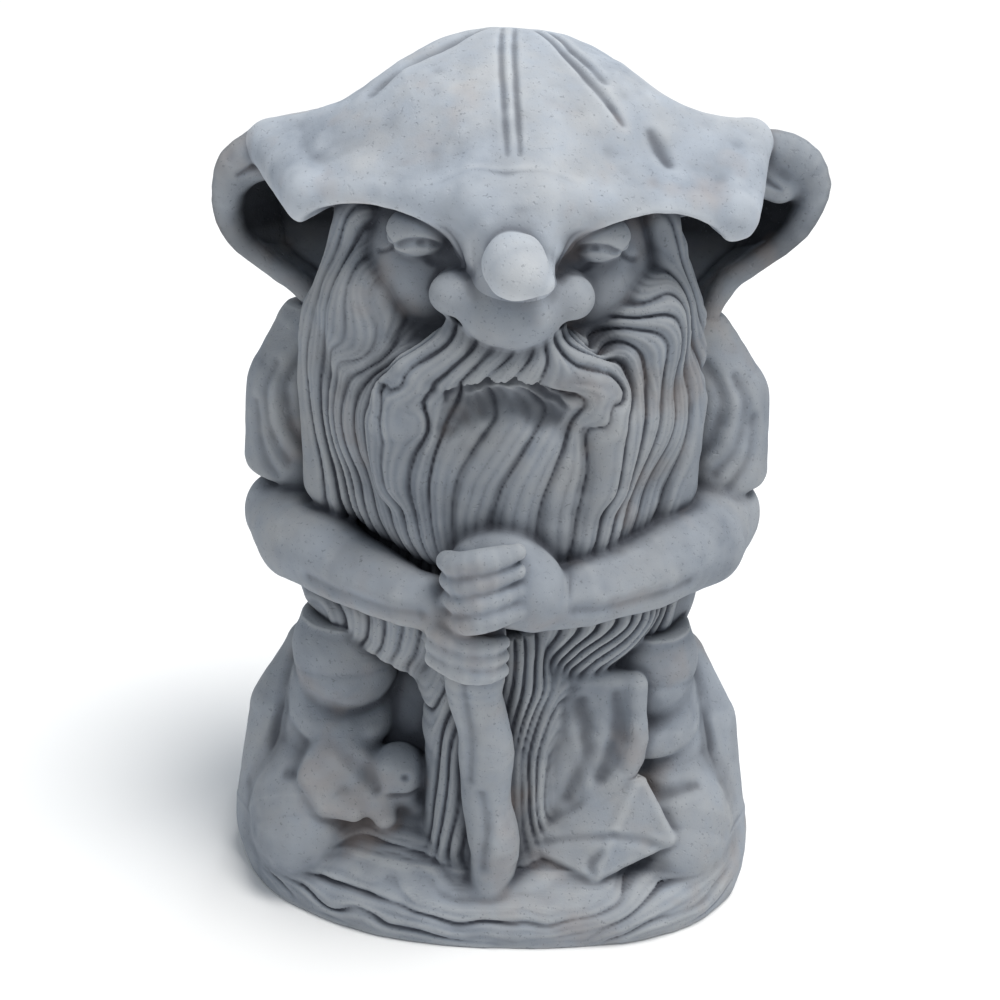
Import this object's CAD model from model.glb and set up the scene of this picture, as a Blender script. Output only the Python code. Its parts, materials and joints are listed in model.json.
"""The look of the garden gnome: every CAD element gets a modelled skin of weathered cast stone.

The elements are modelled as clay, in millimetres, as distance fields on one lattice that they all
share. The hat and its peak are one form, and so are the beard and the moustache. All the forms are
blended into one surface, which is divided between the elements again. Each CAD node then has a
closed skin of its own, and all the skins take their normals from the one surface.
"""

import json
import math

import bpy
import numpy as np
import openvdb
from mathutils import Matrix, Vector


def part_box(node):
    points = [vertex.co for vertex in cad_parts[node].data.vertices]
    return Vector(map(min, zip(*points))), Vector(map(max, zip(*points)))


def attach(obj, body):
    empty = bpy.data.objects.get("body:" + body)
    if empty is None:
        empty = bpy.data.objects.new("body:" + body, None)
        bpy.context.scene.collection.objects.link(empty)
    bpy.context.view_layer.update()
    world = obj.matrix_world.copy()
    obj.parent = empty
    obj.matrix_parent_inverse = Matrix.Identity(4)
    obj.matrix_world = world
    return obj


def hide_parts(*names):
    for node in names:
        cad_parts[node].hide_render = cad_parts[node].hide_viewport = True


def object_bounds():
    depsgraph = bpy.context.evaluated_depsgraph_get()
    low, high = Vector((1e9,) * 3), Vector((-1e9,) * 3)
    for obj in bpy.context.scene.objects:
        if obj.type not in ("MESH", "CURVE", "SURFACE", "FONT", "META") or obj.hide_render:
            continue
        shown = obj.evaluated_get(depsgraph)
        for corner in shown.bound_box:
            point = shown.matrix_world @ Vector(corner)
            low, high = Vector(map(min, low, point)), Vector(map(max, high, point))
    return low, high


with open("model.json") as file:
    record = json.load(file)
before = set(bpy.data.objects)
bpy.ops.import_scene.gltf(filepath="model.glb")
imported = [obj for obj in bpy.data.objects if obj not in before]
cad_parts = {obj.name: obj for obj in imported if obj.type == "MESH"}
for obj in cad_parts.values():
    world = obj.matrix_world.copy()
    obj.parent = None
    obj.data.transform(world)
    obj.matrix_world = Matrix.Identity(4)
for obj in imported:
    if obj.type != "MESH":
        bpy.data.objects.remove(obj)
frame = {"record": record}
bounds_at_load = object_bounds()

MM = 0.001
# The spacing of the lattice, in millimetres.
STEP = 1.25
# The value of a field away from every shape.
FAR = 40.0
# How far round a shape its field is worked out: where it is added, and where it is cut away.
SKIN = 14.0
CUT = 4.0
LATTICE_MARGIN = 22.0
figure_low = np.array(bounds_at_load[0]) / MM
figure_high = np.array(bounds_at_load[1]) / MM
lattice_low = np.floor((figure_low - LATTICE_MARGIN) / STEP) * STEP
lattice_size = np.ceil((figure_high + LATTICE_MARGIN - lattice_low) / STEP).astype(int) + 1
lattice_axes = [
    (lattice_low[axis] + STEP * np.arange(lattice_size[axis])).astype(np.float32)
    for axis in range(3)
]


def vec(*numbers):
    """Numbers as one vector."""
    return np.array(numbers, dtype=np.float64)


def around(node):
    """A function that turns an offset from the middle of a CAD node's box into a place."""
    low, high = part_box(node)
    middle = (np.array(low) + np.array(high)) / 2 / MM

    def place(across, back, up):
        return middle + vec(across, back, up)

    return place


def smooth_min(a, b, blend):
    """The lower of two fields, with a rounded inside corner that is blend wide."""
    if blend <= 0:
        return np.minimum(a, b)
    overlap = np.maximum(blend - np.abs(a - b), 0) / blend
    return np.minimum(a, b) - overlap * overlap * (blend / 4)


def smooth_max(a, b, blend):
    """The higher of two fields, with a rounded outside corner that is blend wide."""
    return -smooth_min(-a, -b, blend)


class Shape:
    """A distance function with the box that holds the shape."""

    def __init__(self, low, high, distance):
        self.low = np.asarray(low, float)
        self.high = np.asarray(high, float)
        self.distance = distance


def turning(turn):
    """The matrix of three turns in degrees, about X, then Y, then Z."""
    matrix = np.eye(3)
    for axis, degrees in enumerate(turn):
        c, s = math.cos(math.radians(degrees)), math.sin(math.radians(degrees))
        first, second = [(1, 2), (2, 0), (0, 1)][axis]
        step = np.eye(3)
        step[first, first] = step[second, second] = c
        step[first, second], step[second, first] = -s, s
        matrix = step @ matrix
    return matrix


def egg(where, radii, turn=None):
    """An ellipsoid."""
    radii = np.asarray(radii, float)
    reach = radii if turn is None else np.full(3, radii.max())
    inverse = None if turn is None else turning(turn).T

    def distance(x, y, z):
        u, v, w = x - where[0], y - where[1], z - where[2]
        if inverse is not None:
            u, v, w = (row[0] * u + row[1] * v + row[2] * w for row in inverse)
        near = np.sqrt((u / radii[0]) ** 2 + (v / radii[1]) ** 2 + (w / radii[2]) ** 2)
        steep = np.sqrt(
            (u / radii[0] ** 2) ** 2 + (v / radii[1] ** 2) ** 2 + (w / radii[2] ** 2) ** 2
        )
        return near * (near - 1) / np.maximum(steep, 1e-6)

    return Shape(where - reach, where + reach, distance)


def limb(start, start_radius, end, end_radius):
    """A round limb that tapers between two points."""
    start, end = np.asarray(start, float), np.asarray(end, float)
    along = end - start
    length_squared = max(float(along @ along), 1e-6)
    reach = max(start_radius, end_radius)

    def distance(x, y, z):
        u, v, w = x - start[0], y - start[1], z - start[2]
        t = (u * along[0] + v * along[1] + w * along[2]) / length_squared
        t = np.clip(t, 0, 1)
        u = u - t * along[0]
        v = v - t * along[1]
        w = w - t * along[2]
        return np.sqrt(u * u + v * v + w * w) - (start_radius + t * (end_radius - start_radius))

    return Shape(np.minimum(start, end) - reach, np.maximum(start, end) + reach, distance)


def beyond(point, normal):
    """The half space on the side that the normal points to, as a tool that is cut away."""
    normal = np.asarray(normal, float) / np.linalg.norm(normal)

    def distance(x, y, z):
        return -(
            (x - point[0]) * normal[0] + (y - point[1]) * normal[1] + (z - point[2]) * normal[2]
        )

    return Shape(figure_low - 3 * FAR, figure_high + 3 * FAR, distance)


def sheet(a, b, c, thick):
    """A flat triangle, thick on both sides of its plane, with rounded edges."""
    corners = (np.asarray(a, float), np.asarray(b, float), np.asarray(c, float))
    edges = [(start, end) for start, end in zip(corners, corners[1:] + corners[:1])]
    normal = np.cross(corners[1] - corners[0], corners[2] - corners[0])
    rims = [limb(start, 0, end, 0) for start, end in edges]

    def toward(direction, point, x, y, z):
        return (
            direction[0] * (x - point[0]) + direction[1] * (y - point[1])
            + direction[2] * (z - point[2])
        )

    def distance(x, y, z):
        within = True
        for start, end in edges:
            within = within & (toward(np.cross(normal, end - start), start, x, y, z) > 0)
        flat = np.abs(toward(normal / np.linalg.norm(normal), corners[0], x, y, z))
        rim = rims[0].distance(x, y, z)
        for other in rims[1:]:
            rim = np.minimum(rim, other.distance(x, y, z))
        return np.where(within, flat, rim) - thick

    return Shape(np.min(corners, axis=0) - thick, np.max(corners, axis=0) + thick, distance)


class Clay:
    """A distance field on a block of the lattice: below zero is inside the clay."""

    def __init__(self, low, high):
        self.start = np.maximum(np.floor((np.asarray(low) - lattice_low) / STEP).astype(int), 0)
        self.stop = np.minimum(
            np.ceil((np.asarray(high) - lattice_low) / STEP).astype(int) + 1, lattice_size
        )
        self.field = np.full(self.stop - self.start, FAR, np.float32)

    @property
    def region(self):
        """The slices of the whole lattice that the block takes up."""
        return tuple(slice(a, b) for a, b in zip(self.start, self.stop))

    def window(self, shape, margin):
        """The slices of the block that a shape reaches, and the coordinates in them."""
        first = np.floor((shape.low - margin - lattice_low) / STEP).astype(int)
        last = np.ceil((shape.high + margin - lattice_low) / STEP).astype(int) + 1
        first = np.clip(first, self.start, self.stop)
        last = np.clip(last, self.start, self.stop)
        if np.any(first >= last):
            return None, None
        slices = tuple(slice(a, b) for a, b in zip(first - self.start, last - self.start))
        x, y, z = (lattice_axes[axis][first[axis]:last[axis]] for axis in range(3))
        return slices, (x[:, None, None], y[None, :, None], z[None, None, :])

    def apply(self, shape, margin, mix):
        """Mixes a shape's field into the block's own."""
        slices, places = self.window(shape, margin)
        if slices is not None:
            new = shape.distance(*places).astype(np.float32)
            self.field[slices] = mix(self.field[slices], new)
        return self

    def add(self, shape, blend=0, margin=SKIN):
        """Puts a shape on the clay, with a fillet that is blend wide."""
        return self.apply(shape, margin + blend, lambda old, new: smooth_min(old, new, blend))

    def carve(self, shape, blend=0):
        """Cuts a shape out of the clay, with a rounded edge that is blend wide."""
        return self.apply(shape, CUT + blend, lambda old, new: smooth_max(old, -new, blend))

    def add_chain(self, points, radii, blend=0, margin=SKIN):
        """Puts a chain of limbs on the clay."""
        return self.add(chained(points, radii), blend, margin)

    def carve_chain(self, points, radii, blend=0):
        """Cuts a chain of limbs out of the clay."""
        return self.carve(chained(points, radii), blend)

    def settle(self, points, lift=0.0, rounds=5):
        """Moves points along the slope until they lie on the clay, lift above it."""
        points = np.array(points, float)
        for _ in range(rounds):
            height = sample(self.field, self.start, points) - lift
            points = points - height[..., None] * outward(self.field, self.start, points)
        return points


def joined(shapes):
    """Several shapes as one, each worked out over the whole."""
    low = np.min([shape.low for shape in shapes], axis=0)
    high = np.max([shape.high for shape in shapes], axis=0)

    def distance(x, y, z):
        result = shapes[0].distance(x, y, z)
        for shape in shapes[1:]:
            result = np.minimum(result, shape.distance(x, y, z))
        return result

    return Shape(low, high, distance)


def chained(points, radii):
    """A limb between each two points, as one shape."""
    return joined([limb(*link) for link in zip(points[:-1], radii[:-1], points[1:], radii[1:])])


def sample(field, start, points, scale=1):
    """Trilinear values, at places in millimetres, of a field that is scale times as coarse."""
    spots = (np.asarray(points) - lattice_low) / (STEP * scale) - start
    limit = np.array(field.shape) - 1.001
    spots = np.clip(spots, 0, limit)
    base = spots.astype(int)
    part = spots - base
    result = 0
    for corner in range(8):
        offset = np.array([corner >> 2 & 1, corner >> 1 & 1, corner & 1])
        weight = np.prod(np.where(offset, part, 1 - part), axis=-1)
        index = base + offset
        result = result + weight * field[index[..., 0], index[..., 1], index[..., 2]]
    return result


def outward(field, start, points):
    """The direction at each point in which a field grows the most."""
    parts = []
    for axis in range(3):
        shift = np.zeros(3)
        shift[axis] = STEP
        parts.append(sample(field, start, points + shift) - sample(field, start, points - shift))
    slope = np.stack(parts, axis=-1)
    return slope / np.maximum(np.linalg.norm(slope, axis=-1, keepdims=True), 1e-6)


def curve(points, count):
    """A smooth curve through points, resampled to a number of points."""
    points = np.asarray(points, float)
    padded = np.concatenate([[2 * points[0] - points[1]], points, [2 * points[-1] - points[-2]]])
    t = np.linspace(0, len(points) - 1, count)
    index = np.minimum(t.astype(int), len(points) - 2)
    u = (t - index)[:, None]
    p0, p1, p2, p3 = (padded[index + offset] for offset in range(4))
    return 0.5 * (
        2 * p1 + (p2 - p0) * u + (2 * p0 - 5 * p1 + 4 * p2 - p3) * u ** 2
        + (3 * p1 - p0 - 3 * p2 + p3) * u ** 3
    )


def groove(clay, points, radius, count=14, blend=1.0, depth=0.3):
    """Scores a line in the clay, shallower towards both ends."""
    route = clay.settle(curve(points, count), lift=-radius * depth)
    share = np.linspace(0, 1, count)
    swell = np.sin(math.pi * share) ** 0.5
    clay.carve_chain(route, radius * (0.25 + 0.75 * swell), blend)


def flow(clay, guides, count=56):
    """At each place of the block: its place across the guides, its share of their length, and
    how far it is from them."""
    coarse = 4
    lines = np.array([clay.settle(curve(guide, count)) for guide in guides])
    last = len(lines) - 1
    size = clay.stop - clay.start
    axes = [
        lattice_low[axis]
        + STEP * (clay.start[axis] + coarse * np.arange(-(-size[axis] // coarse) + 1))
        for axis in range(3)
    ]
    places = np.stack(np.meshgrid(*axes, indexing="ij"), axis=-1)
    flat = places.reshape(-1, 3)
    nearest = []
    for line in lines:
        apart = (flat ** 2).sum(1)[:, None] + (line ** 2).sum(1)[None] - 2 * flat @ line.T
        nearest.append(np.argmin(apart, axis=1))
    nearest = np.array(nearest)
    rows = np.arange(len(flat))
    knots = np.array([line[index] for line, index in zip(lines, nearest)])
    apart = ((knots - flat) ** 2).sum(2)
    best = np.argmin(apart, axis=0)
    here = knots[best, rows]
    across = best.astype(float)
    along = nearest[best, rows].astype(float)
    for step in (1, -1):
        beside = np.clip(best + step, 0, last)
        toward = knots[beside, rows] - here
        share = ((flat - here) * toward).sum(1) / np.maximum((toward ** 2).sum(1), 1)
        share = np.where(beside == best, 0, np.clip(share, 0, 0.5))
        across += step * share
        along += share * (nearest[beside, rows] - nearest[best, rows])
    found = (across, along / (count - 1), np.sqrt(apart.min(axis=0)))
    shape = places.shape[:3]
    return [
        stretch(blur(value.reshape(shape).astype(np.float32), 0.7), size, coarse)
        for value in found
    ]


def stretch(field, size, coarse):
    """A coarse field on the fine lattice, by straight lines between its values."""
    for axis in range(3):
        spots = np.arange(size[axis]) / coarse
        index = spots.astype(int)
        shape = [1, 1, 1]
        shape[axis] = -1
        part = (spots - index).astype(np.float32).reshape(shape)
        field = np.take(field, index, axis) * (1 - part) + np.take(field, index + 1, axis) * part
    return field


def wander(u, v, seed):
    """Smooth random values about zero over two coordinates."""
    cells = 61
    table = np.random.default_rng(seed).normal(0, 1, (cells, cells)).astype(np.float32)
    first, second = np.floor(u).astype(int), np.floor(v).astype(int)
    a, b = u - first, v - second
    a, b = a * a * (3 - 2 * a), b * b * (3 - 2 * b)
    result = 0
    for across, share_a in ((0, 1 - a), (1, a)):
        for along, share_b in ((0, 1 - b), (1, b)):
            value = table[(first + across) % cells, (second + along) % cells]
            result = result + share_a * share_b * value
    return result


def hair(clay, guides, locks, depth, seed, sway=1.3, waves=2.5):
    """Presses wavy locks into the clay along the guides, with so many locks to each gap."""
    near = np.abs(clay.field) < 9
    u, v, far = (field[near] for field in flow(clay, guides))
    lane = u * locks + 40
    lane = lane + sway * wander(lane * 0.16, v * waves, seed)
    lane = lane + 0.4 * wander(lane * 0.4, v * waves * 1.3, seed + 1)
    crest = np.abs(np.sin(math.pi * lane)) ** 0.5
    strong = np.clip(0.85 + 0.35 * wander(lane * 0.5, v * 2, seed + 2), 0.35, 1.5)
    thread = lane * 3.1 + 0.5 * wander(lane * 0.8, v * 2.5, seed + 3)
    threads = np.abs(np.sin(math.pi * thread)) ** 0.8
    swell = wander(lane * 0.5, v * 1.6, seed + 4)
    relief = strong * (crest - 0.75) + 0.18 * (threads - 0.6) + 0.4 * swell
    relief = relief * np.clip(2 - far / 22, 0, 1)
    clay.field[near] -= (depth * relief).astype(np.float32)


SIDES = (("right", -1), ("left", 1))
# What is blended into the one surface, how wide each fillet is, and what divides it again.
forms = {}
blends = {}
owners = {}


def block(nodes, spare=16.0):
    """Clay for one or more CAD nodes, with room round their boxes for the relief."""
    names = [nodes] if isinstance(nodes, str) else nodes
    lows = np.min([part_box(name)[0] for name in names], axis=0)
    highs = np.max([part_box(name)[1] for name in names], axis=0)
    return Clay(np.array(lows) / MM - spare, np.array(highs) / MM + spare)


def mirrored(node, sign):
    """As around, with the distances across turned over for the figure's right side."""
    at = around(node)

    def place(across, back, up):
        return at(sign * across, back, up)

    return place


def through(first, second, third, outside):
    """The half space past the plane through three points, on the side of a fourth."""
    normal = np.cross(second - first, third - first)
    if normal @ (outside - first) < 0:
        normal = -normal
    return beyond(first, normal)


def divide(form, zone_shape, inner, outer):
    """Divides one form between two nodes: what lies in the zone, and the rest."""
    zone = Clay(figure_low - LATTICE_MARGIN, figure_high + LATTICE_MARGIN)
    zone.start, zone.stop = form.start, form.stop
    zone.field = np.full(form.field.shape, FAR, np.float32)
    zone.add(zone_shape, 0, FAR)
    for node, side in ((inner, zone.field), (outer, -zone.field)):
        owner = Clay(figure_low, figure_low)
        owner.start, owner.stop = form.start, form.stop
        owner.field = np.maximum(form.field, side)
        owners[node] = owner


def keep(node, form, blend=3.0):
    """Keeps an element as a form of its own, which it also owns."""
    forms[node] = form
    owners[node] = form
    blends[node] = blend


def shape_hood():
    """The hat: a dome, a brim drawn out to a corner over each ear, and the drooping peak."""
    at = around("hat")
    hood = block(["hat", "hat_peak"], 20)
    hood.add(egg(at(0, -2, -50), (116, 108, 100)))
    hood.add(egg(at(0, 12, -42), (136, 108, 24)), 30)
    thick = 16.0
    wings = (
        (-1, at(-156, -20, -25), at(-124, -86, -42), at(-24, -66, 2), at(-118, 60, -30)),
        (1, at(152, -28, -13), at(138, -88, -44), at(24, -66, 2), at(118, 60, -30)),
    )
    for sign, corner, front, middle, rear in wings:
        brow = middle + vec(0, -56, -34)
        wing = [
            sheet(corner, front, middle, thick),
            sheet(front, middle, brow, thick),
            sheet(corner, middle, rear, thick),
        ]
        hood.add(joined(wing), 22)
        tip = (corner + front) / 2 - vec(sign * 14, -8, 0)
        hood.add(limb(at(sign * 58, -34, -12), 42, tip, 17), 20)
        hood.add(limb(corner, thick * 0.9, front, thick * 1.15), 5)
    hood.carve(beyond(at(0, 0, -48), (0, 0.16, -1)), 6)
    hood.add_chain(
        [at(0, -46, -18), at(0, -84, -35), at(0, -108, -48), at(3, -127, -60), at(5, -138, -72)],
        [35, 34, 31, 28, 24], 26,
    )
    hood.carve(egg(at(-82, -106, -70), (50, 52, 31), (0, 4, 8)), 4)
    hood.carve(egg(at(90, -106, -70), (48, 54, 32), (0, 2, -8)), 4)
    for across in (-8, 0):
        seam = [at(across, 14, 50), at(across, -40, 40), at(across + 3, -84, 14),
                at(across + 6, -112, -10)]
        groove(hood, seam, 2.0, 30, 2.5, -0.2)
    fold = [at(14, 6, 48), at(30, -30, 40), at(48, -56, 22), at(66, -74, 2)]
    groove(hood, fold, 3.0, 24, 4, -0.1)
    groove(hood, [point + vec(9, 2, 2) for point in fold[:3]], 2.4, 20, 4, -0.1)
    groove(hood, [at(-24, 4, 46), at(-54, -22, 32), at(-82, -44, 8)], 4.0, 20, 12, -0.2)
    groove(hood, [at(88, -78, 4), at(98, -92, -10)], 1.8, 10, 8, -0.2)
    return hood


def peak_zone():
    """The share of the hood that is its drooping peak."""
    at = around("hat_peak")
    return joined([
        limb(at(0, 10, 34), 52, at(0, -6, 6), 44), limb(at(0, -6, 6), 44, at(4, -24, -30), 34),
    ])


def shape_knob():
    """The knob at the end of the peak, with a small fold at its side."""
    at = around("hat_knob")
    knob = block("hat_knob", 12)
    knob.add_chain([at(-3, 16, 0), at(-2, 4, -1), at(0, 0, -4)], [16, 19.5, 19])
    knob.add_chain([at(3, -2, -7), at(14, -1, -12)], [13, 8], 9)
    knob.carve(beyond(at(0, 0, -18), (0.1, 0.2, -1)), 6)
    return knob


def shape_head():
    """The skull with its flat cheeks, the root of the nose and the hollows for the eyes."""
    at = around("head")
    head = block("head", 22)
    head.add(egg(at(0, 6, -6), (110, 102, 90)))
    head.add(egg(at(0, -60, 6), (86, 46, 50)), 26)
    for sign in (-1, 1):
        head.add(egg(at(sign * 54, -68, -26), (38, 27, 28)), 28)
        head.carve(egg(at(sign * 56, -117, 16), (28, 19, 15), (0, 0, -sign * 14)), 10)
    head.add(egg(at(4, -92, -16), (35, 36, 34)), 16)
    return head


def shape_eyes():
    """Two eyeballs with one small pit each."""
    at = around("eyes")
    eyes = block("eyes", 14)
    for sign in (-1, 1):
        eyes.add(egg(at(sign * 55, 0, -2), (15, 13.2, 12)))
        eyes.carve(egg(at(sign * 53, -13.5, -2), (3.2, 2.4, 3)), 1)
    return eyes


def shape_lids(head):
    """Heavy lids with a narrow slit between them, and the creases round the eyes."""
    at = around("eyes")
    for sign in (-1, 1):
        head.add(egg(at(sign * 55, 0, 2), (20, 15.5, 16)), 4)
        slit = curve([at(sign * 41, -10, -4), at(sign * 50, -15, -1.5), at(sign * 60, -15, -2),
                      at(sign * 70, -8, -6)], 12)
        head.carve_chain(slit, 1.2 + 2.6 * np.sin(np.linspace(0.2, 2.9, 12)), 1)
        lines = (
            ([at(sign * 40, -12, -14), at(sign * 53, -17, -18), at(sign * 72, -8, -14)], 1.8),
            ([at(sign * 72, -8, -4), at(sign * 80, -4, -2), at(sign * 89, 2, 3)], 1.6),
            ([at(sign * 73, -8, -8), at(sign * 81, -4, -11), at(sign * 90, 2, -10)], 1.5),
        )
        for points, radius in lines:
            groove(head, points, radius, 12, 2.2, 0.0)


def shape_nose():
    """A broad nose with a round wing and a nostril on each side."""
    at = around("nose")
    nose = block("nose", 16)
    nose.add(egg(at(6, -3, -7), (31, 24, 21)))
    for sign in (-1, 1):
        middle = 6 + sign * 36
        nose.add(egg(at(middle, 10, 1), (15, 19, 13.5), (0, sign * 8, 0)), 13)
        nose.carve(egg(at(middle - sign * 7, 2, -14), (9, 8, 4), (0, -sign * 24, 0)), 3)
    return nose


def crease_nose(head):
    """The fold that runs round the outer side of each wing of the nose."""
    at = around("nose")
    for sign in (-1, 1):
        middle = 6 + sign * 36
        fold = [at(middle - sign * 2, 4, 17), at(middle + sign * 13, 8, 11),
                at(middle + sign * 18, 10, -2), at(middle + sign * 15, 10, -14)]
        groove(head, fold, 1.8, 14, 3, 0.0)


def shape_ear(side, sign):
    """A broad ear, as a deep cup of thin sheets that opens forward, with a rolled rim."""
    at = mirrored(f"ear_{side}", sign)
    ear = block(f"ear_{side}", 20)
    if sign < 0:
        spots = ((-40, 40), (-16, 48), (6, 48), (24, 36), (32, 14), (31, -4), (22, -20),
                 (2, -36), (-18, -50), (-30, -72))
    else:
        spots = ((-34, 48), (-8, 54), (18, 56), (38, 48), (46, 30), (40, 8), (26, -10),
                 (6, -26), (-8, -40), (-18, -62))
    back = (0, -12, -18, -18, -15, -12, -8, -6, -6, -8)
    rim = curve([at(across, depth, up) for (across, up), depth in zip(spots, back)], 25)
    hubs = (at(-56, 34, 34), at(-50, 34, 0), at(-46, 18, -50))
    turns = [hubs[0]] * 4 + [hubs[1]] * 4 + [hubs[2]] * 5
    floor = [
        0.66 * rim[2 * index] + 0.34 * hub + vec(0, 22, 0) for index, hub in enumerate(turns)
    ]
    fan = []
    for index in range(12):
        first, second = rim[2 * index], rim[2 * index + 2]
        fan.append(sheet(first, second, floor[index], 6.0))
        fan.append(sheet(second, floor[index], floor[index + 1], 6.0))
        fan.append(sheet(floor[index], floor[index + 1], turns[index], 7.0))
        fan.append(sheet(floor[index + 1], turns[index], turns[index + 1] + vec(0, 0, 1), 7.0))
    ear.add(joined(fan), 0)
    share = np.linspace(0, 1, 25)
    width = np.interp(share, [0, 0.15, 0.35, 0.5, 0.75, 1], [14, 14, 12, 8.5, 7, 6])
    ear.add_chain(rim, width, 5)
    ear.add_chain([at(-22, -12, 40), at(4, -16, 41), at(22, -14, 33)], [16, 14, 12], 8)
    groove(ear, [at(-20, -26, 42), at(2, -30, 42), at(22, -28, 32)], 2.0, 14, 4)
    return ear


def shape_mane():
    """Beard and moustache as one mass, before the locks are pressed into it."""
    at = around("beard")
    low, high = (np.array(corner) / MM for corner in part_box("beard"))
    mane = Clay(low - 18, high + vec(18, 18, 70))
    mane.add(egg(at(2, -4, -4), (119, 72, 88)))
    mane.add(egg(at(5, -20, -66), (98, 46, 44)), 22)
    mane.add(egg(at(4, -44, -72), (66, 34, 32)), 18)
    for side, sign in SIDES:
        mane.add_chain(
            [at(sign * 94, -8, 134), at(sign * 100, -8, 100), at(sign * 110, 0, 56),
             at(sign * 112, 8, 4), at(sign * 108, 2, -60)],
            [15, 17, 22, 25, 25], 20,
        )
        mane.add(egg(at(sign * 86, -22, 58), (32, 28, 44), (0, sign * 12, 0)), 14)
        mane.add_chain(
            [at(sign * 28, -64, 62), at(sign * 52, -62, 38), at(sign * 66, -60, 4),
             at(sign * 66, -58, -36)],
            [14, 16, 15, 9], 18,
        )
    mane.add(egg(at(2, -64, 50), (46, 21, 22)), 12)
    mane.add(egg(at(4, -52, -28), (58, 28, 48)), 16)
    return mane


def beard_guides():
    """Lines from the hairline down to the beard's edge, from one temple over to the other."""
    at = around("beard")
    share = (0, 0.25, 0.5, 0.75, 1.0)
    root = ((100, 96, 62, 30, 3), (146, 104, 74, 64, 70))
    hip = ((124, 105, 84, 50, 3), (30, 20, 12, 8, 4))
    tip = ((112, 88, 62, 36, 8), (-70, -84, -94, -98, -104))
    steps = np.linspace(0, 0.94, 8)
    guides = []
    for sign, order in ((-1, steps), (1, steps[::-1])):
        for step in order:
            ends = [
                [np.interp(step, share, row) for row in pair] for pair in (root, hip, tip)
            ]
            ends.insert(1, [ends[0][0] * 0.35 + ends[1][0] * 0.65,
                            ends[0][1] * 0.55 + ends[1][1] * 0.45])
            guides.append([
                at(sign * across, -78 + 0.005 * across * across, up) for across, up in ends
            ])
    return guides


def open_mouth(mane):
    """The dark slit under the moustache, turned down at its corners."""
    at = around("beard")
    turn = np.linspace(-1, 1, 21)
    hollow = np.array([at(2 + 38 * t, -80, 26 - 18 * t * t) for t in turn])
    mane.carve_chain(mane.settle(hollow, 2.0), 8.0 - 6.5 * turn ** 2, 9)
    line = np.array([at(2 + 38 * t, -80, 37 - 17 * t * t) for t in turn])
    mane.carve_chain(mane.settle(line, -3.4 + 3.8 * turn ** 2), 5.2 - 4.4 * turn ** 2, 1.5)


def moustache_zone():
    """The share of the mane that is its moustache."""
    at = around("moustache")
    return joined([
        limb(at(-60, 2, -6), 22, at(0, -14, 14), 27), limb(at(0, -14, 14), 27, at(60, 2, -6), 22),
    ])


def shape_tail():
    """The long end of the beard, in three strands behind the staff."""
    at = around("beard_tail")
    tail = block("beard_tail", 22)
    tail.add_chain([at(-2, 10, 84), at(-4, 12, 30), at(-6, 10, -20), at(-4, 6, -74)],
                   [44, 40, 38, 41])
    tail.add_chain([at(-26, 2, 60), at(-24, 2, 10), at(-24, -4, -40), at(-27, -8, -80)],
                   [25, 20, 20, 23], 14)
    tail.add_chain([at(30, 2, 60), at(26, 0, 10), at(26, -6, -40), at(32, -8, -80)],
                   [26, 22, 22, 24], 14)
    guides = []
    for across in (-56, -38, -20, -2, 14, 32, 50):
        guides.append([at(across, -30, 84), at(across * 0.95, -32, 34),
                       at(across * 0.95, -34, -16), at(across * 1.05, -38, -50),
                       at(across * 1.3, -42, -80)])
    hair(tail, guides, 1.5, 4.4, 61)
    return tail


def shape_hair():
    """The hair on the back of the head."""
    at = around("back_hair")
    low, high = (np.array(corner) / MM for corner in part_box("back_hair"))
    locks = Clay(low - 16, high + vec(16, 16, 60))
    locks.add(egg(at(0, -14, 22), (106, 54, 74)))
    guides = []
    for across in np.linspace(-100, 100, 11):
        depth = 44 - 0.006 * across * across
        guides.append([at(across * 0.9, depth - 8, 92), at(across, depth, 44),
                       at(across * 1.04, depth, 4), at(across * 0.94, depth - 10, -48)])
    hair(locks, guides, 1.7, 3.6, 71)
    return locks


def shape_tunic():
    """The tunic: a shaggy skirt at the front, with a hem that dips to a point, and a plain back."""
    at = around("tunic")
    tunic = block("tunic", 24)
    tunic.add(egg(at(0, -10, -66), (143, 106, 96)))
    tunic.add(egg(at(0, 0, 40), (134, 90, 96)), 22)
    tunic.add(egg(at(0, 4, 86), (128, 72, 42)), 24)
    guides = []
    for across in np.linspace(-1, 1, 13):
        front = -104 + 34 * across * across
        guides.append([
            at(138 * across, front, -20), at(139 * across, front - 6, -56),
            at(124 * across + 2, front - 8, -88), at(98 * across, front - 8, -128),
        ])
    hair(tunic, guides, 1.7, 4.6, 81)
    ground = at(0, 0, -300)
    tunic.carve(through(at(-138, -60, -74), at(-8, -118, -130), at(-70, 90, -112), ground), 3)
    tunic.carve(through(at(146, -60, -90), at(-2, -118, -128), at(70, 90, -112), ground), 3)
    for across in (-96, -50, 0, 48, 92):
        fold = [at(across * 0.7, 96, 60), at(across, 96, 0), at(across * 1.2, 92, -90)]
        groove(tunic, fold, 3.0, 18, 8, -0.3)
    return tunic


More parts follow.
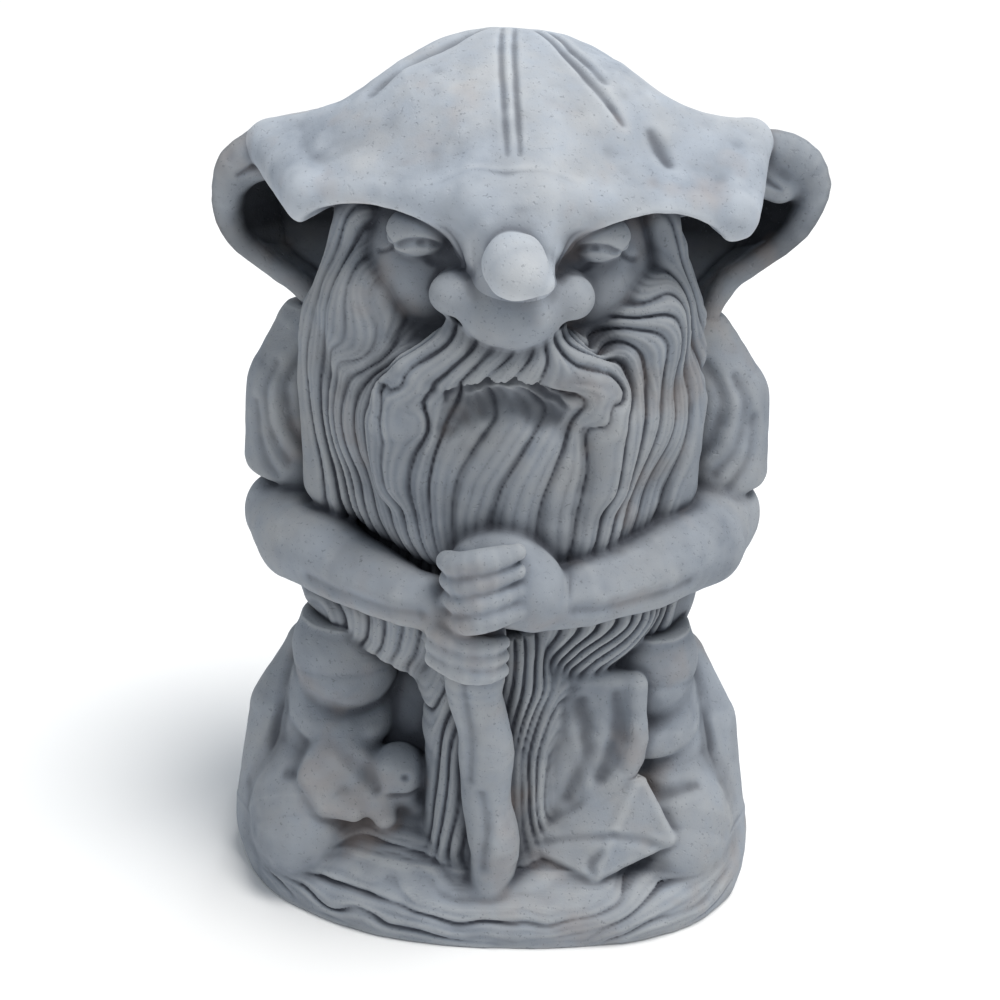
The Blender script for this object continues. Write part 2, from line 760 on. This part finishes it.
def shape_sleeve(side, sign):
    """A sleeve that is cut off at the elbow, with soft folds down its front."""
    at = mirrored(f"sleeve_{side}", sign)
    sleeve = block(f"sleeve_{side}", 14)
    out = 0 if sign < 0 else 7
    sleeve.add_chain([at(-24, 8, 64), at(-12 + out, 4, 26), at(-11 + out, -2, -24)],
                     [28, 35, 36])
    sleeve.carve(beyond(at(0, 0, -30), (0.1 * sign, 0.1, -1)), 5)
    folds = (
        ([at(-18, -20, 58), at(-6, -30, 38), at(-12, -38, 10), at(-26, -38, -6)], 2.0),
        ([at(2, -22, 50), at(12, -28, 30), at(8, -36, 4), at(-8, -42, -14)], 2.2),
        ([at(16, -20, 20), at(16, -30, -4), at(2, -40, -26)], 2.0),
    )
    for points, radius in folds:
        groove(sleeve, points, radius, 14, 9, -0.3)
    return sleeve


def shape_forearm(side, sign):
    """A thick forearm from the elbow, which tapers to the wrist in front of the beard's end."""
    at = mirrored(f"forearm_{side}", sign)
    arm = block(f"forearm_{side}", 20)
    rise, bulk = (0, 1.0) if sign < 0 else (7, 1.1)
    arm.add_chain(
        [at(50, 58, 4 + rise), at(36, 18, 1 + rise), at(-2, -26, -1 + rise),
         at(-44, -60, -4 + rise), at(-78, -74, -6 + rise)],
        np.array([29, 29, 25, 20, 17]) * bulk,
    )
    arm.add(egg(at(20, -8, 10 + rise), (34, 24, 20), (0, 0, sign * 42)), 10)
    sinew = [at(24, -34, -6 + rise), at(-10, -58, -8 + rise), at(-50, -84, -6 + rise)]
    groove(arm, sinew, 1.6, 16, 12, -0.6)
    return arm


def shape_hands():
    """The left fist over the staff, with its fingers folded, and the right hand under it."""
    left = block("hand_left", 20)
    at = around("hand_left")
    left.add(egg(at(7, 2, 3), (35, 25, 30)))
    left.add(egg(at(24, 2, -8), (28, 23, 24)), 14)
    for step in range(4):
        rise = 23 - 13.2 * step
        in_by = 2.0 * step
        left.add_chain(
            curve([at(18, -20, rise + 7), at(-2, -27, rise + 3), at(-19 + in_by, -21, rise - 3),
                   at(-27 + in_by, -6, rise - 7)], 9),
            [6, 7.6, 8.6, 8.9, 8.7, 8.4, 8.2, 7.6, 6.8], 3.4,
        )
    right = block("hand_right", 16)
    at = around("hand_right")
    right.add(egg(at(-2, 6, -2), (25, 21, 22)))
    for step in range(3):
        rise = -10 * step
        right.add_chain(
            curve([at(-20, -6, rise), at(-4, -18, rise - 2), at(14, -17, rise - 5),
                   at(24, -6, rise - 7)], 8),
            [6.2, 7, 7.4, 7.4, 7, 6.6, 6, 5.4], 3.4,
        )
    return left, right


def shape_staff():
    """A branch with soft knots, thicker at the top."""
    at = around("staff")
    staff = block("staff", 16)
    points = curve([at(-5, -13, 96), at(-5, -14, 66), at(-1, -12, 28), at(5, -7, -22),
                    at(9, -6, -70), at(8, -6, -112)], 25)
    share = np.linspace(0, 1, 25)
    points[:, 0] += 1.8 * np.sin(share * 17)
    width = 18.5 - 3.0 * share
    for knot, size in ((0.2, 2.2), (0.5, 1.8), (0.78, 1.4)):
        width = width + size * np.exp(-((share - knot) / 0.07) ** 2)
    staff.add_chain(points, width)
    lines = (
        [at(-12, -30, 66), at(-8, -28, 30), at(-6, -20, -10)],
        [at(2, -20, -20), at(6, -16, -50), at(6, -14, -80)],
    )
    for line in lines:
        groove(staff, line, 1.2, 20, 9, -0.6)
    return staff


def shape_trouser(side, sign):
    """The trouser leg that bulges over the cuff."""
    at = mirrored(f"trouser_{side}", sign)
    leg = block(f"trouser_{side}", 26)
    leg.add_chain([at(-14, 0, 44), at(-11, -4, 18), at(-12, -6, 6)], [33, 38, 36])
    return leg


def shape_cuff(side, sign):
    """The turned-down cuff: its lip hangs lowest in front."""
    at = mirrored(f"boot_cuff_{side}", sign)
    cuff = block(f"boot_cuff_{side}", 16)
    cuff.add_chain([at(-12, 2, 14), at(-11, -4, -8)], [38, 41])
    cuff.carve(through(at(-14, -50, -24), at(34, 0, 4), at(-52, 0, -4), at(0, 0, -90)), 9)
    cuff.carve(through(at(-14, -44, 2), at(36, 0, 34), at(-52, 0, 22), at(0, 0, 90)), 9)
    return cuff


def shape_boot(side, sign):
    """A broad soft boot that widens down to the ground."""
    at = mirrored(f"boot_{side}", sign)
    boot = block(f"boot_{side}", 18)
    boot.add_chain([at(-18, 8, 50), at(-12, 4, 8), at(-4, -4, -26), at(0, -8, -46)],
                   [33, 36, 40, 42])
    boot.add_chain([at(0, -22, -30), at(0, -32, -40)], [38, 34], 18)
    groove(boot, [at(-40, -34, 14), at(-14, -44, 4), at(16, -38, 10)], 2.6, 14, 9, -0.3)
    return boot


def ripples(clay, depth, gap, seed):
    """Low waves that run across the front of the ground."""
    x, y, z = (
        lattice_low[axis] + STEP * np.arange(clay.start[axis], clay.stop[axis])
        for axis in range(3)
    )
    x, y, z = x[:, None, None], y[None, :, None], z[None, None, :]
    bend = 0.9 * wander(x / 62 + 20, z / 60 + 20, seed)
    bend = bend + 0.25 * wander(x / 22 + 30, z / 16 + 9, seed)
    crest = np.abs(np.sin(math.pi * ((1.1 * z - 0.3 * y) / gap + bend))) ** 0.6
    fine = np.abs(np.sin(math.pi * ((1.1 * z - 0.3 * y) / gap * 2.6 + 2 * bend))) ** 0.8
    patch = np.clip(0.7 + 0.5 * wander(x / 30 + 7, (z - y) / 16 + 7, seed + 1), 0.1, 1.3)
    place = np.clip((-84 - y) / 20, 0, 1) * np.clip((76 - z) / 14, 0, 1) * np.clip(z / 12, 0, 1)
    near = np.abs(clay.field) < 8
    relief = depth * place * (patch * (crest - 0.7) + 0.25 * (fine - 0.6))
    clay.field[near] -= relief[near].astype(np.float32)


def shape_rock():
    """The rough mound behind the legs, the sloping ground before them and the toad's ledge."""
    at = around("rock_support")
    low, high = (np.array(corner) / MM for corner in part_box("rock_support"))
    rock = Clay(low - vec(16, 46, 42), high + 16)
    rock.add(egg(at(7, 2, -64), (178, 116, 104)))
    rock.add(egg(at(0, 12, 10), (150, 96, 90)), 30)
    rock.add(egg(at(4, 44, -86), (168, 96, 46)), 30)
    ground = around("ground_base")
    rock.add(egg(ground(4, -56, -14), (172, 98, 80)), 26)
    rock.add(egg(ground(58, -66, 70), (56, 36, 66)), 16)
    for sign in (-1, 1):
        rock.add_chain([at(sign * 130, -22, 48), at(sign * 148, -34, 4), at(sign * 152, -48, -56)],
                       [24, 30, 34], 20)
        rock.add(egg(at(sign * 96, 60, -20), (60, 44, 80)), 20)
        rib = [at(sign * 150, -72, 34), at(sign * 160, -84, 0), at(sign * 160, -96, -50)]
        groove(rock, rib, 2.8, 18, 7, -0.2)
    ledge = around("toad")
    rock.add_chain([ledge(-26, 2, -30), ledge(10, 2, -36), ledge(40, 2, -42)], [16, 15, 12], 12)
    ripples(rock, 4.2, 15, 7)
    return rock


def shape_base():
    """The ground: a rounded mound with soft sides, and low ripples that run across its front."""
    at = around("ground_base")
    base = block("ground_base", 14)
    low, high = (np.array(corner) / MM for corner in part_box("ground_base"))
    half = (high - low) / 2
    middle = (high + low) / 2
    corner, edge = 118.0, 17.0

    def distance(x, y, z):
        across = np.abs(x - middle[0]) - (half[0] - corner)
        along = np.abs(y - middle[1]) - (half[1] - corner)
        plan = np.sqrt(np.maximum(across, 0) ** 2 + np.maximum(along, 0) ** 2)
        plan = plan + np.minimum(np.maximum(across, along), 0) - corner
        rise = np.abs(z - middle[2]) - half[2] + edge
        side = plan + edge
        out = np.sqrt(np.maximum(side, 0) ** 2 + np.maximum(rise, 0) ** 2)
        return out + np.minimum(np.maximum(side, rise), 0) - edge

    base.add(Shape(low, high, distance))
    base.carve(beyond(at(-126, -116, 0), (-0.62, -0.78, 0)), 40)
    ripples(base, 4.2, 15, 7)
    base.carve(beyond(at(0, 0, -half[2]), (0, 0, -1)))
    return base


def shape_panel():
    """The flat end of the coat, which tapers down to one side over the bundle."""
    at = around("coat_panel")
    panel = block("coat_panel", 24)
    spots = [at(-18, -12, 72), at(32, -8, 72), at(34, -10, 14), at(6, -18, -14), at(-26, -24, -30)]
    for second, third in ((1, 2), (2, 3), (3, 4)):
        panel.add(sheet(spots[0], spots[second], spots[third], 7), 3)
    panel.add(egg(at(6, 8, 30), (30, 20, 56)), 14)
    panel.add_chain([at(34, -10, 70), at(35, -13, 30), at(30, -16, 6), at(6, -20, -16)],
                    [7, 8, 8, 7], 5)
    groove(panel, [at(20, -18, 64), at(22, -20, 34), at(12, -22, 4)], 2.6, 16, 10, -0.3)
    groove(panel, [at(-4, -22, 60), at(2, -24, 24), at(-10, -28, -10)], 2.2, 16, 10, -0.4)
    return panel


def shape_bundle():
    """A square cloth folded up by its corners, with soft planes and creases between them."""
    at = around("cloth_bundle")
    bundle = block("cloth_bundle", 22)
    peak = at(10, -16, 16)
    corners = [at(-46, -12, 2), at(-2, -26, -12), at(48, -10, 8), at(26, 4, 46)]
    for first, second in zip(corners, corners[1:] + corners[:1]):
        bundle.add(sheet(first, second, peak, 5.5), 2)
    bundle.add(egg(at(2, 6, -4), (38, 22, 22)), 10)
    start = peak + vec(0, -6, 0)
    groove(bundle, [start, (start + corners[0]) / 2 + vec(0, -4, 4), corners[0]], 2, 14, 6, -0.3)
    groove(bundle, [start, at(30, -22, 12), at(42, -18, 4)], 2, 12, 6, -0.3)
    groove(bundle, [at(0, -30, 6), at(-6, -32, -2), at(-4, -34, -10)], 1.8, 10, 6, -0.3)
    return bundle


def shape_toad():
    """A toad in profile: high back, big head, a paw under its chest and a leg stretched out."""
    at = around("toad")
    toad = block("toad", 20)
    toad.add(egg(at(-20, 4, 10), (26, 24, 26), (0, 14, 0)))
    toad.add(egg(at(0, -2, -6), (30, 19, 16)), 12)
    toad.add(egg(at(21, -3, 10), (20, 18, 19)), 9)
    toad.add_chain([at(-36, -8, 4), at(-28, -17, -10), at(-10, -20, -14)], [13, 10, 8], 9)
    toad.add_chain([at(6, -12, -8), at(12, -18, -20)], [10, 8], 8)
    toad.add_chain([at(26, -8, -6), at(34, -12, -14)], [7, 5], 7)
    toad.carve_chain(curve([at(-18, -16, 34), at(-2, -18, 18), at(6, -20, 4)], 9),
                     [4, 4, 3.8, 3.4, 3, 2.5, 2, 1.7, 1.5], 8)
    toad.carve(egg(at(27, -21, 14), (4, 3, 3.4)), 2)
    groove(toad, [at(14, -24, 0), at(26, -24, -3), at(38, -16, 0)], 1.5, 10, 3, 0)
    return toad


def model_all():
    """Models each element. The first ones are blended into each other the most."""
    keep("ground_base", shape_base(), 0)
    keep("rock_support", shape_rock(), 26)
    for side, sign in SIDES:
        keep(f"boot_{side}", shape_boot(side, sign), 9)
    for side, sign in SIDES:
        keep(f"trouser_{side}", shape_trouser(side, sign), 5)
        keep(f"boot_cuff_{side}", shape_cuff(side, sign), 3.5)
    keep("tunic", shape_tunic(), 3)
    keep("beard_tail", shape_tail(), 5)
    keep("coat_panel", shape_panel(), 4)
    keep("cloth_bundle", shape_bundle(), 4)
    keep("toad", shape_toad(), 5)
    keep("staff", shape_staff(), 3)
    for side, sign in SIDES:
        keep(f"sleeve_{side}", shape_sleeve(side, sign), 3)
    head = shape_head()
    shape_lids(head)
    crease_nose(head)
    keep("head", head, 3)
    keep("eyes", shape_eyes(), 0.8)
    keep("back_hair", shape_hair(), 3)
    for side, sign in SIDES:
        keep(f"ear_{side}", shape_ear(side, sign), 5)
    mane = shape_mane()
    hair(mane, beard_guides(), 1.45, 4.6, 31)
    open_mouth(mane)
    forms["mane"], blends["mane"] = mane, 3.5
    divide(mane, moustache_zone(), "moustache", "beard")
    for side, sign in SIDES:
        keep(f"forearm_{side}", shape_forearm(side, sign), 5)
    left, right = shape_hands()
    keep("hand_right", right, 6)
    keep("hand_left", left, 5)
    hood = shape_hood()
    forms["hood"], blends["hood"] = hood, 2.5
    divide(hood, peak_zone(), "hat_peak", "hat")
    keep("nose", shape_nose(), 8)
    keep("hat_knob", shape_knob(), 2)


def ripple(size, wavelength, seed):
    """Smooth random waves over a block of the lattice, about one high."""
    random = np.random.default_rng(seed)
    counts = [int(math.ceil(n * STEP / wavelength)) + 4 for n in size]
    field = random.normal(0, 1, counts).astype(np.float32)
    for axis in range(3):
        spots = np.arange(size[axis]) * STEP / wavelength + 1
        index = spots.astype(int)
        u = (spots - index).astype(np.float32)
        u = u * u * (3 - 2 * u)
        shape = [1, 1, 1]
        shape[axis] = -1
        u = u.reshape(shape)
        field = np.take(field, index, axis) * (1 - u) + np.take(field, index + 1, axis) * u
    return field


def blur(field, radius):
    """The mean of a field over a box of about the radius, in millimetres."""
    reach = max(int(round(radius / STEP)), 1)
    for axis in range(3):
        total = np.cumsum(field, axis=axis, dtype=np.float32)
        size = field.shape[axis]
        upper = np.minimum(np.arange(size) + reach, size - 1)
        lower = np.maximum(np.arange(size) - reach - 1, 0)
        width = (upper - lower).astype(np.float32)
        shape = [1, 1, 1]
        shape[axis] = -1
        field = (np.take(total, upper, axis) - np.take(total, lower, axis)) / width.reshape(shape)
    return field


def blend_all():
    """One surface for the whole figure, with the nearest and second nearest element at each
    place, which divide it."""
    whole = np.full(lattice_size, FAR, np.float32)
    nearest = np.full(lattice_size, FAR, np.float32)
    second = np.full(lattice_size, FAR, np.float32)
    for name, form in forms.items():
        region = form.region
        whole[region] = smooth_min(whole[region], form.field, blends[name])
    for owner in owners.values():
        region = owner.region
        near = nearest[region]
        second[region] = np.minimum(second[region], np.maximum(near, owner.field))
        nearest[region] = np.minimum(near, owner.field)
    return whole, nearest, second


def roughen(whole):
    """Low waves of hand modelling over the whole surface, and the flat underside."""
    for height, wavelength, seed in ((0.55, 26.0, 3), (0.22, 9.0, 5)):
        whole += height * ripple(whole.shape, wavelength, seed)
    rise = lattice_low[2] + STEP * np.arange(whole.shape[2], dtype=np.float32)
    return np.maximum(whole, -rise[None, None, :])


def cup_shade(node, places, normals):
    """How deep each place of an ear lies in its cup, which catches dirt and shade."""
    if not node.startswith("ear"):
        return np.zeros(len(places))
    forward = np.clip(0.3 - 2.5 * normals[:, 1], 0, 1)
    deep = np.clip((places[:, 1] + 20) / 14, 0, 1)
    high = np.clip((places[:, 2] - 425) / 40, 0.25, 1)
    return forward * deep * high


def skin(node, clay, whole, nearest, second, marks):
    """The closed skin of one element: its share of the whole surface, tucked under at seams."""
    region = clay.region
    own = clay.field
    other = np.where(own <= nearest[region] + 1e-4, second[region], nearest[region])
    border = (own - other) / 2
    field = whole[region] + 0.6 * np.maximum(border, 0)
    field = np.maximum(field, border - 2.0 * STEP)
    field[[0, -1]] = STEP
    field[:, [0, -1]] = STEP
    field[:, :, [0, -1]] = STEP
    grid = openvdb.FloatGrid(FAR)
    grid.copyFromArray(np.clip(field, -FAR, FAR))
    points, quads = grid.convertToQuads(isovalue=0.0)
    places = (points + clay.start) * STEP + lattice_low
    normals = outward(whole, np.zeros(3), places)
    mesh = bpy.data.meshes.new(f"{node}_skin")
    mesh.vertices.add(len(points))
    mesh.vertices.foreach_set("co", (places * MM).astype(np.float32).ravel())
    mesh.loops.add(quads.size)
    mesh.loops.foreach_set("vertex_index", quads.astype(np.int32).ravel())
    mesh.polygons.add(len(quads))
    mesh.polygons.foreach_set("loop_start", np.arange(0, quads.size, 4, dtype=np.int32))
    mesh.update(calc_edges=True)
    mesh.polygons.foreach_set("use_smooth", np.ones(len(quads), bool))
    values = {
        name: sample(field, np.zeros(3), places, scale) for name, (field, scale) in marks.items()
    }
    values["cup"] = cup_shade(node, places, normals)
    for name, here in values.items():
        layer = mesh.attributes.new(name, "FLOAT", "POINT")
        layer.data.foreach_set("value", here.astype(np.float32))
    mesh.normals_split_custom_set_from_vertices(normals.tolist())
    thing = bpy.data.objects.new(f"{node}_skin", mesh)
    bpy.context.scene.collection.objects.link(thing)
    return thing


def surface_marks(whole):
    """Where the surface is hollow, and where it is shut in, to colour it by, each with how many
    times as coarse as the lattice it is."""
    near = np.clip(whole, -6, 6)
    hollow = near - blur(near, 3.6)
    coarse = 3
    within = np.clip(0.5 - whole[::coarse, ::coarse, ::coarse] / 10, 0, 1)
    shut = blur(blur(within, 12.0 / coarse), 12.0 / coarse)
    return {"hollow": (hollow, 1), "shut": (shut, coarse)}


def make_stone(name, tone):
    """Weathered cast stone: blue grey, paler on worn faces, dark in the hollows, a little rust."""
    stone = bpy.data.materials.new(name)
    stone.use_nodes = True
    nodes, links = stone.node_tree.nodes, stone.node_tree.links
    shader = nodes["Principled BSDF"]
    shader.inputs["Roughness"].default_value = 0.88
    shader.inputs["Specular IOR Level"].default_value = 0.25

    def node(kind, **inputs):
        made = nodes.new(kind)
        for name, value in inputs.items():
            made.inputs[name].default_value = value
        return made

    places = nodes.new("ShaderNodeTexCoord")

    def noise(scale, detail=4.0, rough=0.55):
        made = node("ShaderNodeTexNoise", Scale=scale, Detail=detail, Roughness=rough)
        links.new(places.outputs["Object"], made.inputs["Vector"])
        return made.outputs["Fac"]

    def fit(value, low, high, to_low=0.0, to_high=1.0):
        made = nodes.new("ShaderNodeMapRange")
        links.new(value, made.inputs["Value"])
        made.inputs["From Min"].default_value = low
        made.inputs["From Max"].default_value = high
        made.inputs["To Min"].default_value = to_low
        made.inputs["To Max"].default_value = to_high
        return made.outputs["Result"]

    def mixed(share, first, second):
        made = nodes.new("ShaderNodeMix")
        made.data_type = "RGBA"
        for socket, value in ((0, share), (6, first), (7, second)):
            if isinstance(value, bpy.types.NodeSocket):
                links.new(value, made.inputs[socket])
            else:
                made.inputs[socket].default_value = value
        return made.outputs[2]

    def times(first, second):
        made = nodes.new("ShaderNodeMath")
        made.operation = "MULTIPLY"
        for socket, value in enumerate((first, second)):
            if isinstance(value, bpy.types.NodeSocket):
                links.new(value, made.inputs[socket])
            else:
                made.inputs[socket].default_value = value
        return made.outputs[0]

    def mark(name):
        made = nodes.new("ShaderNodeAttribute")
        made.attribute_name = name
        return made.outputs["Fac"]

    base = mixed(fit(noise(9.0, 5.0), 0.40, 0.60), (0.25, 0.28, 0.325, 1), (0.375, 0.39, 0.41, 1))
    base = mixed(fit(noise(34.0, 4.0), 0.38, 0.68), base, (0.33, 0.365, 0.415, 1))
    worn = times(fit(mark("hollow"), 0.0, -0.8), 0.6)
    base = mixed(worn, base, (0.50, 0.52, 0.54, 1))
    dirt = times(fit(mark("hollow"), 0.05, 1.1), 0.9)
    base = mixed(dirt, base, (0.065, 0.07, 0.088, 1))
    cup = times(fit(mark("cup"), 0.0, 1.0), 0.94)
    base = mixed(cup, base, (0.018, 0.02, 0.026, 1))
    shade = times(fit(mark("shut"), 0.48, 0.68), 0.88)
    base = mixed(shade, base, (0.055, 0.06, 0.075, 1))
    rust = times(fit(noise(16.0, 3.0), 0.56, 0.70), 0.30)
    base = mixed(rust, base, (0.36, 0.28, 0.23, 1))
    speck = times(fit(noise(420.0, 2.0, 0.6), 0.36, 0.30), 0.45)
    base = mixed(speck, base, (0.12, 0.13, 0.15, 1))
    toned = nodes.new("ShaderNodeVectorMath")
    toned.operation = "SCALE"
    toned.inputs["Scale"].default_value = tone
    links.new(base, toned.inputs[0])
    links.new(toned.outputs[0], shader.inputs["Base Color"])

    grain = node("ShaderNodeBump", Strength=0.35, Distance=0.0006)
    links.new(noise(700.0, 3.0, 0.7), grain.inputs["Height"])
    pits = node("ShaderNodeBump", Strength=0.5, Distance=0.0008)
    links.new(fit(noise(260.0, 1.0), 0.24, 0.34), pits.inputs["Height"])
    links.new(grain.outputs["Normal"], pits.inputs["Normal"])
    strokes = node("ShaderNodeBump", Strength=0.35, Distance=0.0016)
    links.new(noise(90.0, 4.0, 0.6), strokes.inputs["Height"])
    links.new(pits.outputs["Normal"], strokes.inputs["Normal"])
    links.new(strokes.outputs["Normal"], shader.inputs["Normal"])
    return stone


def aim(thing, place, target):
    """Puts a thing in its place and turns it to face a target, in millimetres."""
    direction = (target - place) / np.linalg.norm(target - place)
    thing.location = place * MM
    thing.rotation_euler = Vector(direction).to_track_quat("-Z", "Y").to_euler()


# The camera: film width and lens in millimetres, place in metres, angles in degrees.
FILM_WIDTH = 36.0
LENS = 68.616
CAMERA_PLACE = (0.0, -1.25, 0.80)
CAMERA_DIP = 22.95
CAMERA_ROLL = 1.8


def make_camera():
    """The camera stands in front of the figure, above it, looks down and is a little rolled."""
    data = bpy.data.cameras.new("camera")
    camera = bpy.data.objects.new("camera", data)
    bpy.context.scene.collection.objects.link(camera)
    data.sensor_width = FILM_WIDTH
    data.lens = LENS
    camera.location = CAMERA_PLACE
    pitch = Matrix.Rotation(math.radians(90 - CAMERA_DIP), 4, "X")
    roll = Matrix.Rotation(math.radians(CAMERA_ROLL), 4, "Z")
    camera.rotation_euler = (pitch @ roll).to_euler()
    bpy.context.scene.camera = camera
    return camera


def make_light(name, kind, place, size, strength, colour):
    """A light that shines on the middle of the figure."""
    data = bpy.data.lights.new(name, kind)
    if kind == "SUN":
        data.angle = size
    else:
        data.shape = "DISK"
        data.size = size
    data.energy = strength
    data.color = colour
    thing = bpy.data.objects.new(name, data)
    bpy.context.scene.collection.objects.link(thing)
    aim(thing, vec(*place), vec(0, 0, 300))
    return thing


def make_studio():
    """A white floor, an even sky, a sun in front and a soft light behind."""
    bpy.ops.mesh.primitive_plane_add(size=12)
    floor = bpy.context.object
    floor.name = "floor"
    paper = bpy.data.materials.new("paper")
    paper.use_nodes = True
    shader = paper.node_tree.nodes["Principled BSDF"]
    shader.inputs["Base Color"].default_value = (0.92, 0.92, 0.92, 1)
    shader.inputs["Roughness"].default_value = 0.9
    floor.data.materials.append(paper)
    world = bpy.data.worlds.new("sky")
    world.use_nodes = True
    sky = world.node_tree.nodes["Background"]
    sky.inputs["Color"].default_value = (0.88, 0.94, 1.0, 1)
    sky.inputs["Strength"].default_value = 0.45
    bpy.context.scene.world = world
    bpy.context.scene.view_settings.view_transform = "Standard"
    make_light("key", "SUN", (600, -400, 2300), 0.5, 2.6, (1.0, 0.98, 0.95))
    make_light("edge", "AREA", (500, 1300, 1400), 1.0, 6, (0.9, 0.95, 1.0))


make_camera()
make_studio()
model_all()
whole, nearest, second = blend_all()
whole = roughen(whole)
marks = surface_marks(whole)
tones = {
    "hat_stone": 1.27,
    "skin_stone": 0.86,
    "hair_stone": 0.76,
    "cloth_stone": 0.82,
    "ground_stone": 0.86,
}
stones = {slot: make_stone(slot, tone) for slot, tone in tones.items()}
slots = {entry["node"]: entry["material_slot"] for entry in frame["record"]["subparts"]}
for node, clay in owners.items():
    thing = skin(node, clay, whole, nearest, second, marks)
    thing.data.materials.append(stones[slots[node]])
    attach(thing, "root")
    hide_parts(node)
